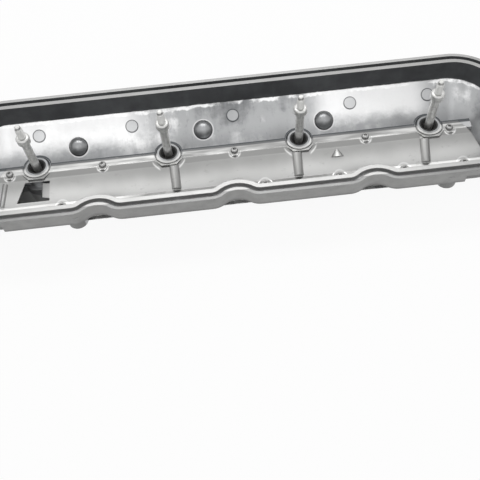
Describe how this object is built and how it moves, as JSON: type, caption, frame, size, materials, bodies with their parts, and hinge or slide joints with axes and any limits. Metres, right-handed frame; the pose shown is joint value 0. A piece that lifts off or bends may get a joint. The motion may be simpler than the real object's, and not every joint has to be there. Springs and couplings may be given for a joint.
{
  "type": "engine valve cover",
  "caption": "Long shallow cast engine valve cover shown open side up, with captive bolts along a raised ledge and a screwed-on oil baffle.",
  "frame": {"origin": "centre of the sealing rail, in the plane of its face", "axes": "+X along the cover, +Y to the far (plain) side, +Z out of the open side; the cover lies on its roof"},
  "size_m": [0.497, 0.1325, 0.0902],
  "materials": {
    "cast_aluminium": "as-cast, bright on the far wall, dull on the skirt",
    "baffle_sheet": "smooth pressed sheet",
    "plated_bolt": "zinc plated",
    "grommet_rubber": "matte",
    "screw_steel": "satin",
    "plated_tube": "satin"
  },
  "bodies": {
    "cover": {"cover_casting": "cast_aluminium", "oil_baffle": "baffle_sheet", "bolt_grommet_1": "grommet_rubber", "bolt_grommet_2": "grommet_rubber", "bolt_grommet_3": "grommet_rubber", "bolt_grommet_4": "grommet_rubber", "ledge_screw_1": "screw_steel", "ledge_screw_2": "screw_steel", "ledge_screw_3": "screw_steel", "ledge_screw_4": "screw_steel", "ledge_screw_5": "screw_steel", "foot_screw_1": "screw_steel", "foot_screw_2": "screw_steel", "foot_screw_3": "screw_steel", "foot_screw_4": "screw_steel", "foot_screw_5": "screw_steel", "breather_tube": "plated_tube"},
    "bolt_1": {"captive_bolt_1": "plated_bolt"},
    "bolt_2": {"captive_bolt_2": "plated_bolt"},
    "bolt_3": {"captive_bolt_3": "plated_bolt"},
    "bolt_4": {"captive_bolt_4": "plated_bolt"}
  },
  "joints": [
    {"name": "bolt_slide_1", "type": "slide", "parent": "cover", "child": "bolt_1", "axis": [0, 0, 1], "range_m": [-0.028, 0]},
    {"name": "bolt_slide_2", "type": "slide", "parent": "cover", "child": "bolt_2", "axis": [0, 0, 1], "range_m": [-0.028, 0]},
    {"name": "bolt_slide_3", "type": "slide", "parent": "cover", "child": "bolt_3", "axis": [0, 0, 1], "range_m": [-0.028, 0]},
    {"name": "bolt_slide_4", "type": "slide", "parent": "cover", "child": "bolt_4", "axis": [0, 0, 1], "range_m": [-0.028, 0]}
  ]
}
